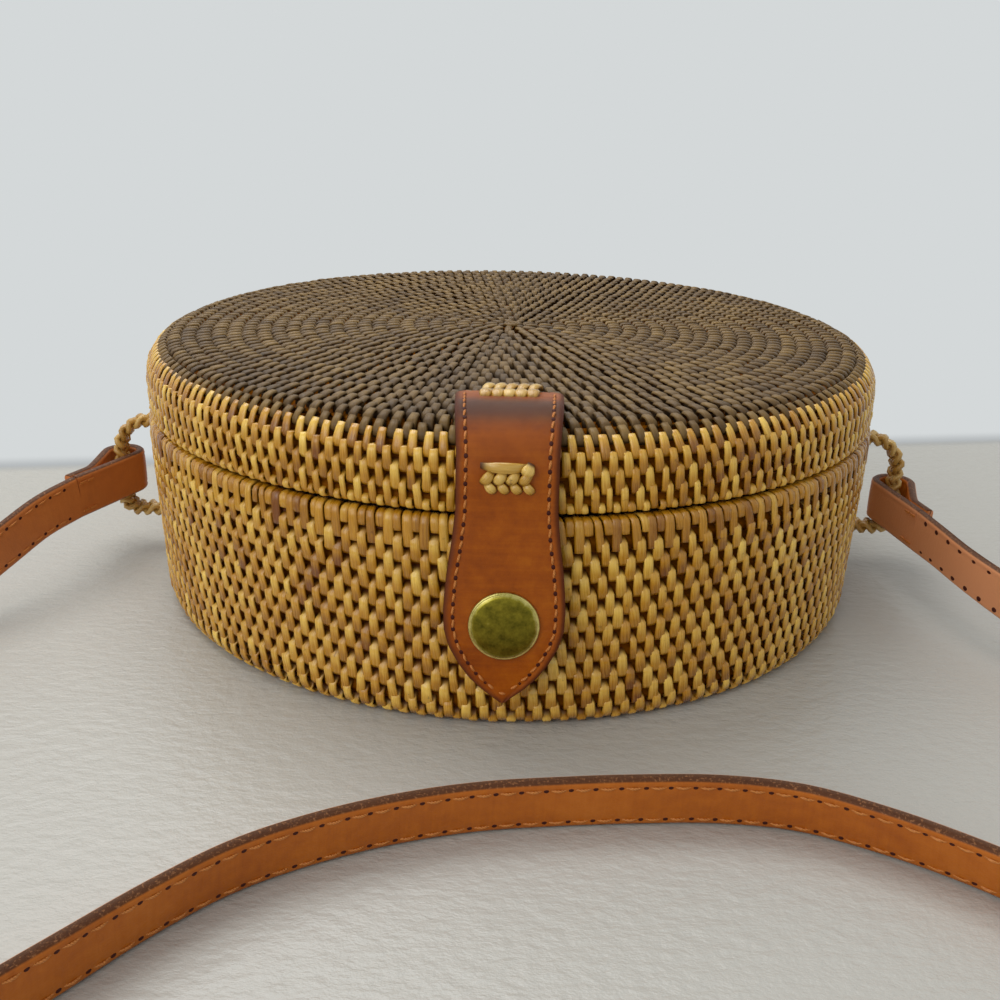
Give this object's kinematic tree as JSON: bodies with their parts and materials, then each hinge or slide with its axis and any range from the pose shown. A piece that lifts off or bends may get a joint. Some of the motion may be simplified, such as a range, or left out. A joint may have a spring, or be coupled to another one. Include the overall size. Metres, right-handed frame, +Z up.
{
  "type": "round woven box bag",
  "caption": "Round woven rattan box bag with a hinged lid, a leather snap tab, side loops and a flat leather shoulder strap.",
  "frame": {"origin": "centre of the base's underside, on the surface that the bag lies on", "axes": "+Z up through the lid, -Y towards the leather tab, +X to the right of someone facing the tab"},
  "size_m": [0.4081, 0.355, 0.0754],
  "materials": {
    "rattan": "varnished woven rattan",
    "dark_rattan": "dark smoked rattan",
    "leather": "tan, smooth grain",
    "leather_back": "tan, rough flesh side",
    "strap_leather": "tan, satin",
    "thread": "waxed thread",
    "brass": "antiqued brass",
    "lining": "plain cotton"
  },
  "bodies": {
    "base": {"base_shell": "rattan", "base_rim_hoop": "rattan", "base_collar": "dark_rattan", "base_floor_lining": "lining", "base_wall_lining": "lining", "snap_stud": "brass", "snap_post": "brass", "stud_washer": "leather_back", "left_strap_loop": "rattan", "right_strap_loop": "rattan", "left_hinge_base_loops": "rattan", "right_hinge_base_loops": "rattan", "left_hinge_pin": "dark_rattan", "right_hinge_pin": "dark_rattan", "left_strap_end": "strap_leather", "right_strap_end": "strap_leather", "strap_end_stitching": "thread", "strap": "strap_leather"},
    "lid": {"lid_shell": "rattan", "lid_rim_hoop": "rattan", "lid_top_lining": "lining", "lid_wall_lining": "lining", "tab_strip": "leather", "tab_strip_backing": "leather_back", "tab_strip_stitching": "thread", "tab_lacing_top": "rattan", "tab_lacing_front": "rattan", "left_hinge_lid_loop": "rattan", "right_hinge_lid_loop": "rattan"},
    "tab": {"tab_flap": "leather", "tab_flap_backing": "leather_back", "tab_flap_stitching": "thread", "snap_cap": "brass", "snap_socket": "brass"}
  },
  "joints": [
    {"name": "lid_hinge", "type": "hinge", "parent": "base", "child": "lid", "pos_m": [0, 0.10405, 0.05105], "axis": [-1, 0, 0], "range_deg": [0, 105]},
    {"name": "tab_flex", "type": "hinge", "parent": "lid", "child": "tab", "pos_m": [0, -0.1036, 0.054], "axis": [-1, 0, 0], "range_deg": [0, 80]}
  ]
}
